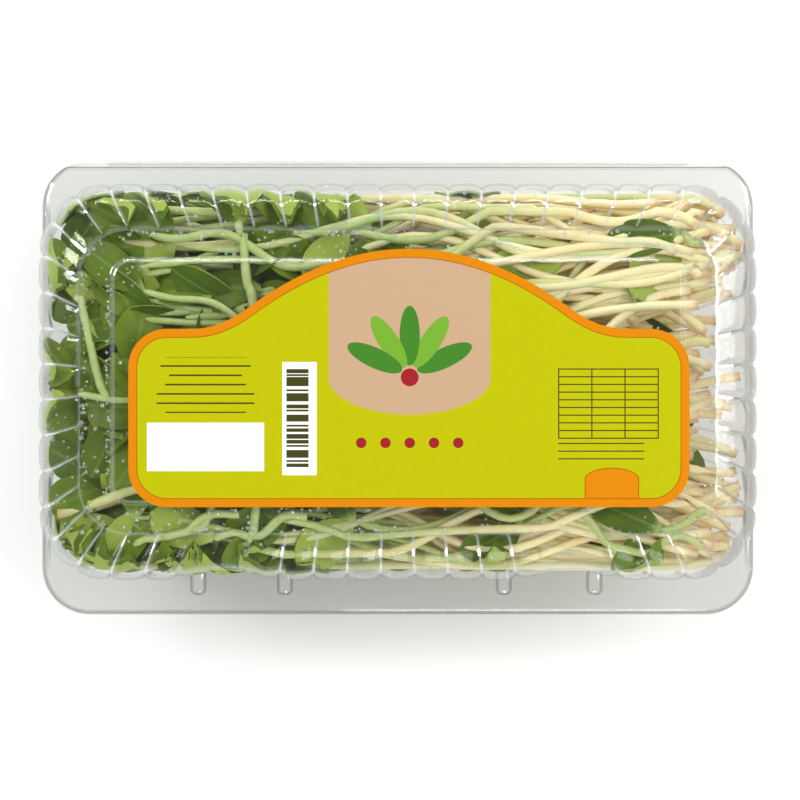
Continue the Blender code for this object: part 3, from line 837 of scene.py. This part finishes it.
def stem_copy(item):
    """The points of a stem bent along its line, and their marks for the colours."""
    u = stem_points[:, 0]
    line, ahead = stem_line(item, u), stem_line(item, np.minimum(1, u + 0.01))
    behind = stem_line(item, np.maximum(0, u - 0.01))
    tangent = ahead - behind
    tangent /= np.linalg.norm(tangent, axis=1, keepdims=True)
    side = np.cross((0, 0, 1), tangent)
    side /= np.linalg.norm(side, axis=1, keepdims=True)
    up = np.cross(tangent, side)
    neck = np.clip(0.45 + 14 * (1 - u), 0.45, 1)
    lumps = 1 + 0.05 * np.sin(40 * u + item.phase)
    radius = (item.radius * neck * (1.0 - 0.2 * u) * lumps)[:, None]
    points = line + radius * (side * stem_points[:, 1:2] + up * stem_points[:, 2:3])
    along = 1 - (1 - u) * math.dist(item.root, item.head) / FULL_STEM
    return waved(points), np.stack([along, np.full_like(u, item.tint), u], axis=1)


def leaf_copy(item, number):
    """A leaf cupped, turned, set on its stem and fitted into its layer."""
    bottom = layer_room(item.layer)[0]
    marks, upper = leaf_marks(item, number)
    along, across = marks[:, 0], marks[:, 1]
    points = leaf_points.copy()
    points[:, 2] += (item.cup[number] * across ** 2 - item.curl[number] * along ** 2) * MM
    stretch = item.lengths[number] / LEAF_LENGTH
    widen = item.widths[number] / 2 / LEAF_HALF_WIDTH
    flip = math.pi if (item.tint * 13.7 + number * 0.6) % 1 < FACE_DOWN else 0
    roll, tilt = 0.8 * item.tilts[1 - number] + flip, -0.5 * item.tilts[number]
    angle = item.facing + (1, -1)[number] * item.spreads[number]
    points = points * (stretch, widen, 1.0)
    points = points @ turned("Y", tilt).T @ turned("X", roll).T @ turned("Z", angle).T
    head = stem_line(item, np.array([1.0]))[0]
    points[:, :2] += head[:2]
    points[:, 2] += bottom + item.leaf_level * PITCH
    room = LEAF_THICKNESS * upper

    def pulled(z):
        half_x, half_y = inner_half(z, LEAST_MARGIN)
        return kept_inside(
            points[:, 0], points[:, 1], half_x - room, half_y - room, 0.8 * FULL_CUT)

    x, y = pulled(points[:, 2])
    pushed = np.hypot(points[:, 0] - x, points[:, 1] - y)
    low = max(FLOOR_Z, bottom - 0.3 * PITCH)
    high = min(CEILING_Z - 0.2 * MM, bottom + 1.25 * PITCH)
    z = fitted(points[:, 2] + 0.7 * pushed, low, high)
    return waved(np.stack([*pulled(z), z], axis=1)), marks


def fitted(z, low, high):
    """Shifts heights to lie between two limits, and squeezes them if they must be."""
    tall = z.max() - z.min()
    if tall > high - low:
        z = z.min() + (z - z.min()) * (high - low) / tall
    return z + max(0.0, low - z.min()) - max(0.0, z.max() - high)


def turned(axis, angle):
    c, s = math.cos(angle), math.sin(angle)
    return np.array({
        "X": ((1, 0, 0), (0, c, -s), (0, s, c)),
        "Y": ((c, 0, s), (0, 1, 0), (-s, 0, c)),
        "Z": ((c, -s, 0), (s, c, 0), (0, 0, 1))}[axis])


def leaf_marks(item, number):
    """Along, across and upper side of a leaf's points, and the last alone."""
    half = len(leaf_points) // 2
    along = leaf_points[:, 0] / LEAF_LENGTH
    across = leaf_points[:, 1] / LEAF_HALF_WIDTH
    upper = leaf_points[:, 2] >= np.concatenate([leaf_points[half:, 2], leaf_points[:half, 2]])
    tint = 0.9 * ((item.tint * 7.3 + number * 0.37) % 1)
    return np.stack([along, across, upper + tint], axis=1), upper


def gathered(name, copies, faces, finish):
    """One piece from many copies of a pattern's points."""
    count = len(copies[0])
    every = [tuple(vertex + count * number for vertex in face)
             for number in range(len(copies)) for face in faces]
    mesh = bpy.data.meshes.new(name)
    mesh.from_pydata(np.concatenate(copies).tolist(), [], every)
    mesh.materials.append(finish)
    piece = bpy.data.objects.new(name, mesh)
    bpy.context.scene.collection.objects.link(piece)
    smooth(piece, 60)
    return piece


# %% [markdown]
# ## Colours of stem and leaf
# A stem is cream, greener near its leaves and browner at the cut. The seed leaf is a deep green
# above with a paler rib, and yellow-green beneath. The marks on each point say where it is on its
# sprout, so the colours follow every bend.

# %% The finishes of stem and leaf
STEM_CREAM, STEM_SAND, STEM_SHADED = (1.0, 0.85, 0.50), (0.96, 0.78, 0.42), (0.56, 0.52, 0.20)
STEM_GREEN, STEM_STREAK, CUT_BROWN = (0.44, 0.56, 0.18), (0.97, 0.93, 0.72), (0.55, 0.27, 0.16)
LEAF_DEEP, LEAF_FRESH, LEAF_RIB = (0.066, 0.122, 0.006), (0.17, 0.265, 0.012), (0.32, 0.46, 0.09)
LEAF_UNDER, LEAF_PALE, LEAF_FOOT = (0.26, 0.37, 0.045), (0.42, 0.52, 0.10), (0.50, 0.62, 0.22)


def stem_finish():
    finish = Finish("stem_skin", Roughness=0.38, Subsurface_Weight=0.3, Subsurface_Scale=0.003)
    spot, x, _, _ = finish.place()
    along, tint, from_cut = finish.split(finish.attribute("marks")["Vector"])
    blotch = finish.noise(spot, 90, 3)
    cream = finish.mix(tint, STEM_CREAM, STEM_SAND)
    # Towards the left the cream turns a darker olive: partly the stems' own hue, partly painted
    # shade of the deep heap.
    cream = finish.mix(x.ramp(45 * MM, -30 * MM) * 0.6, cream, STEM_SHADED)
    green_share = (along + blotch * 0.22 + tint * 0.18).ramp(0.56, 1.08)
    colour = finish.mix(green_share, cream, STEM_GREEN)
    browned = (from_cut + tint * 0.01).ramp(0.028, 0.0) * 0.6
    colour = finish.mix(browned, colour, CUT_BROWN)
    streak = finish.noise(spot, 420, 2).ramp(0.35, 0.75)
    colour = finish.mix(streak * 0.16, colour, STEM_STREAK)
    finish.set("Base Color", colour)
    finish.bump(blotch + streak * 0.3, 0.0003, 0.25)
    return finish.material


def leaf_finish():
    finish = Finish("leaf_skin", Roughness=0.42, Specular_IOR_Level=0.16,
                    Subsurface_Weight=0.06, Subsurface_Scale=0.002)
    spot = finish.place()[0]
    along, across, side = finish.split(finish.attribute("marks")["Vector"])
    upper = side.ramp(0.92, 0.98)
    tint = side - upper
    blotch = finish.noise(spot, 130, 4)
    deep = finish.mix((blotch * 0.6 + tint * 0.5).ramp(0.2, 0.9), LEAF_DEEP, LEAF_FRESH)
    rib = abs(across).ramp(0.12, 0.02) * 0.22
    vein = abs(abs(across) - 0.42).ramp(0.10, 0.01) * 0.06
    deep = finish.mix(rib + vein, deep, LEAF_RIB)
    under = finish.mix(blotch, LEAF_UNDER, LEAF_PALE)
    foot = along.ramp(0.16, 0.0) * 0.7
    colour = finish.mix(foot, finish.mix(upper, under, deep), LEAF_FOOT)
    finish.set("Base Color", colour)
    finish.bump(blotch * 0.6 + rib, 0.0004, 0.35)
    return finish.material


stem_skin, leaf_skin = stem_finish(), leaf_finish()
heap_faces = 0
for layer in range(LAYERS):
    items = [item for item in heap if item.layer == layer]
    stems = [stem_copy(item) for item in items]
    leaves = [leaf_copy(item, number) for item in items for number in (0, 1)]
    for kind, slot_name, copies, faces, finish in (
            ("stems", "stem", stems, stem_faces, stem_skin),
            ("leaves", "leaf", leaves, leaf_faces, leaf_skin)):
        points, marks = zip(*copies)
        piece = gathered(f"{kind}_of_layer_{layer + 1}", points, faces, finish)
        attribute = piece.data.attributes.new("marks", "FLOAT_VECTOR", "POINT")
        attribute.data.foreach_set("vector", np.concatenate(marks).ravel())
        nodes = sorted(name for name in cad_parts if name.startswith(f"{kind}_{layer + 1}_"))
        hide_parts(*nodes)
        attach(piece, "base")
        heap_faces += len(piece.data.polygons)
print(heap_faces, "faces in the heap")

# %% [markdown]
# ## The sticker
# The sticker is a long plate with a hump. Its border comes from an inset, so it has the same width
# all round. The print is plain shapes only: boxes, rules, uneven bars, an empty table, dots and a
# fan of five leaves. Its back is pale paper.

# %% Outline and plate
LABEL_X, LABEL_HALF, LABEL_RADIUS = 2.8 * MM, 69.4 * MM, 9.5 * MM
LABEL_LOW, LABEL_SHOULDER, LABEL_TOP = -29.9 * MM, 14.2 * MM, 34.0 * MM
HUMP_HALF, HUMP_FILLET = 46.3 * MM, 40.0 * MM
BORDER, LINE_WIDTH = 2.0 * MM, 0.22 * MM
LABEL_BASE, LABEL_THICKNESS = 67.3 * MM, 0.3 * MM


def hump(x):
    """Height share of the raised middle: a wide arch with a soft foot on each side."""
    reach = abs(x)
    if reach < HUMP_FILLET:
        return 1 - (reach / HUMP_HALF) ** 2
    foot_height = 1 - (HUMP_FILLET / HUMP_HALF) ** 2
    foot_length = foot_height * HUMP_HALF ** 2 / HUMP_FILLET
    return foot_height * max(0.0, 1 - (reach - HUMP_FILLET) / foot_length) ** 2


def corner(centre_x, centre_y, start_degrees, steps=10):
    for step in range(steps + 1):
        angle = math.radians(start_degrees + 90 * step / steps)
        yield centre_x + LABEL_RADIUS * math.cos(angle), centre_y + LABEL_RADIUS * math.sin(angle)


def label_outline(hump_steps=72):
    side = LABEL_HALF - LABEL_RADIUS
    low, high = LABEL_LOW + LABEL_RADIUS, LABEL_SHOULDER - LABEL_RADIUS
    points = [*corner(-side, low, 180), *corner(side, low, 270), *corner(side, high, 0)]
    for step in range(1, hump_steps):
        x = side * (1 - 2 * step / hump_steps)
        points.append((x, LABEL_SHOULDER + (LABEL_TOP - LABEL_SHOULDER) * hump(x)))
    points += corner(-side, high, 90)
    return [(LABEL_X + x, y, LABEL_BASE + LABEL_THICKNESS) for x, y in points]


def printed(name, colour):
    """Satin ink, faintly uneven: the finish, and its colour to print over."""
    finish = Finish(name, Specular_IOR_Level=0.08)
    grain = finish.noise(finish.place()[0], 700, 2)
    dark = tuple(channel * 0.975 for channel in colour)
    uneven = finish.mix(grain.ramp(0.3, 0.7), dark, colour)
    finish.set("Base Color", uneven)
    finish.set("Roughness", grain * 0.08 + 0.38)
    return finish, uneven


GREEN_INK, ORANGE_INK = (0.44, 0.445, 0.0005), (0.63, 0.208, 0.001)
BEIGE_INK, WHITE_INK = (0.50, 0.33, 0.20), (0.88, 0.88, 0.86)
LINE_INK, DARK_INK, RED_INK = (0.36, 0.10, 0.002), (0.05, 0.05, 0.01), (0.30, 0.015, 0.02)
LEAF_INKS = (0.05, 0.20, 0.02), (0.16, 0.36, 0.03)
BACKING = (0.72, 0.71, 0.66)


def ruled(value, low, step, width):
    """1 on evenly spaced rules along a value, in mm."""
    place = ((value - low * MM) * (1 / (step * MM))).math("FRACT")
    return place.below(width / step)


def field_finish():
    finish, colour = printed("field_ink", GREEN_INK)
    _, x, y, _ = finish.place()

    def box(low, high):
        """1 inside a box given by two corners in mm, 0 outside."""
        centre = [(a + b) / 2 * MM for a, b in zip(low, high)]
        half = [(b - a) / 2 * MM for a, b in zip(low, high)]
        return abs(x - centre[0]).below(half[0]) * abs(y - centre[1]).below(half[1])

    def oval(centre, half_length, half_width, degrees=0):
        """1 inside a turned oval, in mm."""
        c, s = math.cos(math.radians(degrees)), math.sin(math.radians(degrees))
        dx, dy = x - centre[0] * MM, y - centre[1] * MM
        along = (dx * c + dy * s) * (1 / (half_length * MM))
        across = (dy * c - dx * s) * (1 / (half_width * MM))
        return (along * along + across * across).below(1.0)

    def ink(mask, paint):
        nonlocal colour
        colour = finish.mix(mask, colour, paint)

    # The beige panel, the fan of leaves and the row of dots.
    ink(box((-17, 2), (23, 40)), BEIGE_INK)
    ink(oval((3, 2), 20, 9), BEIGE_INK)
    for number, degrees in enumerate((25, 57, 90, 123, 155)):
        turn = math.radians(degrees)
        centre = (3 + 9.5 * math.cos(turn), 3 + 9.5 * math.sin(turn))
        ink(oval(centre, 7.4, 2.5, degrees), LEAF_INKS[number % 2])
    ink(oval((3, 2.2), 2.2, 2.2), RED_INK)
    across = ((x * (1 / (6 * MM))).math("FRACT") - 0.5) * 6
    dots = (across * across + ((y + 14 * MM) * (1 / MM)) ** 2).below(1.7)
    ink(dots * box((-12, -16), (18, -12)), RED_INK)
    # At the left, an empty box under uneven rules, and a box of uneven bars.
    ink(box((-62, -21), (-33, -9)), WHITE_INK)
    half_rule = (finish.noise(finish.snapped(y, 0.2, 2.3), 90, 0) * 16 + 2) * MM
    rules = ruled(y, 0.2, 2.3, 0.42) * abs(x + 47.5 * MM).below(half_rule)
    ink(box((-60, -6.6), (-35, 7.2)) * rules, DARK_INK)
    ink(box((-28.5, -22), (-20, 6)), WHITE_INK)
    bars = ruled(y, 0, 1.25, 0.5) + ruled(y, 0.3, 2.9, 0.9) + ruled(y, 1.1, 4.7, 1.2)
    ink(box((-27.5, -20.5), (-22, 4.5)) * bars.above(0.5), DARK_INK)
    # At the right, an empty table over three rules, and a bare tab on the border.
    lines = ruled(y, 0.3, 1.9, 0.3) + ruled(x, 39.7, 8.2, 0.3)
    ink(box((39.7, -13.0), (64.6, 4.42)) * lines.above(0.5), DARK_INK)
    ink(box((39.7, -19.2), (61, -14)) * ruled(y, 0.9, 1.9, 0.3), DARK_INK)
    for edge, paint in ((0.25, LINE_INK), (0, ORANGE_INK)):
        ink(box((46.5 - edge, -30), (59.5 + edge, -23)), paint)
        ink(oval((53, -23), 6.5 + edge, 2.6 + edge), paint)
    finish.set("Base Color", colour)
    return finish.material


def build_sticker():
    sticker = lofted("sticker", [label_outline()])
    edit(sticker)
    inks = [printed("border_ink", ORANGE_INK)[0].material,
            printed("line_ink", LINE_INK)[0].material, field_finish()]
    for material in inks:
        sticker.data.materials.append(material)
    for number, width in enumerate((BORDER, LINE_WIDTH), start=1):
        bpy.ops.mesh.inset(thickness=width, depth=0)
        sticker.active_material_index = number
        bpy.ops.object.material_slot_assign()
    bpy.ops.object.mode_set(mode="OBJECT")
    if sticker.data.polygons[0].normal.z < 0:
        sticker.data.flip_normals()
    apply_modifier(sticker, "SOLIDIFY", thickness=LABEL_THICKNESS, offset=-1)
    sticker.data.materials.append(printed("backing_paper", BACKING)[0].material)
    for face in sticker.data.polygons:
        if face.normal.z < -0.5:
            face.material_index = 3
    return sticker


sticker = build_sticker()
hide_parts("label")
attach(sticker, "cover")
print("sticker:", len(sticker.data.polygons), "faces")

# %% [markdown]
# ## Drops inside the lid
# Fresh sprouts breathe, and water gathers on the cold lid, thickest along the ends of the flutes.
# Each drop is the lower part of a small ball, modelled once.

# %% Scatter the drops
DROP_SEED, DROP_TRIES, PANEL_DROPS = 77, 1500, 110
ON_WALL, ON_ENDS = 0.35, 0.7  # draws below these: on the wall, and at a flute's end
LARGE_SHARE, DRY_SHARE = 0.12, 0.6  # of all drops, and of those on the right
UNDER_BAND, PANEL_RISE = LID_BOTTOM + 27.0 * MM, 1.2 * MM


def drop_pattern():
    deselect()
    bpy.ops.mesh.primitive_ico_sphere_add(subdivisions=2, radius=1)
    drop = bpy.context.object
    cut_level(drop, 0.25, clear_outer=True, use_fill=True)
    return drop


def drop_places():
    """(x, y, z, radius) of drops: beside the panel's ends, on the wall and on the flat top."""
    draw = random.Random(DROP_SEED)
    ends = body_ring(78.4, 37.2, 11.6, 0.0)
    slope = [body_ring(x, y, r, LID_BOTTOM + z * MM, flute * FLUTE_DEPTH, scoop)
             for z, x, y, r, flute, scoop in LID_SECTION[2:]]
    places = []
    for _ in range(PANEL_DROPS):
        x = draw.choice((-1, -1, -1, 1)) * (72.4 - draw.random() ** 2 * 1.2) * MM
        y, radius = draw.uniform(-28, 28) * MM, draw.uniform(0.18, 0.42) * MM
        places.append((x, y + BODY_Y, UNDER_BAND - 0.2 * radius, radius))
    for _ in range(DROP_TRIES):
        kind, number = draw.random(), draw.randrange(len(ends))
        sizes = (0.42, 0.62) if draw.random() < LARGE_SHARE else (0.14, 0.40)
        radius = draw.uniform(*sizes) * MM
        if kind < ON_WALL:
            level = draw.randrange(len(slope) - 1)
            low, high = np.array(slope[level][number][:3]), np.array(slope[level + 1][number][:3])
            point = low + (high - low) * draw.random()
            places.append((*point, radius))
            continue
        x, y = ends[number][:2]
        reach = draw.uniform(0.99, 1.004) if kind < ON_ENDS else draw.uniform(0.80, 0.99)
        x, y = x * reach + draw.uniform(-0.6, 0.6) * MM, y * reach + draw.uniform(-0.6, 0.6) * MM
        across = abs(y - BODY_Y) / MM
        dry = draw.random() < DRY_SHARE * (x > 0)
        if dry or 69 < abs(x) / MM < 72 or 28.5 < across < 31.5:  # none on the panel's edge
            continue
        on_panel = abs(x) < 70 * MM and across < 29
        z = UNDER_BAND + (PANEL_RISE if on_panel else 0)
        places.append((x, y, z - 0.2 * radius, radius))
    return places


def water_finish():
    finish = Finish("water", Base_Color=PALE_SHEEN, Metallic=1.0, Roughness=0.04)
    finish.see_through((0.97, 0.98, 0.98), finish.facing() ** 2 * 0.5 + 0.26)
    return finish.material


drop_points, drop_faces = pattern_arrays(drop_pattern())
copies = [drop_points * radius + place for *place, radius in drop_places()]
drops = gathered("lid_drops", copies, drop_faces, water_finish())
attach(drops, "cover")
print(len(copies), "drops")

# %% [markdown]
# ## The floor
# The pack stands on plain white. The floor is no part of it, and no body holds it.

# %% Lay the floor
deselect()
bpy.ops.mesh.primitive_plane_add(size=6)
floor = bpy.context.object
floor.name = "floor"
paper = Finish("white_sheet", Base_Color=(0.95, 0.95, 0.95), Roughness=0.9)
floor.data.materials.append(paper.material)
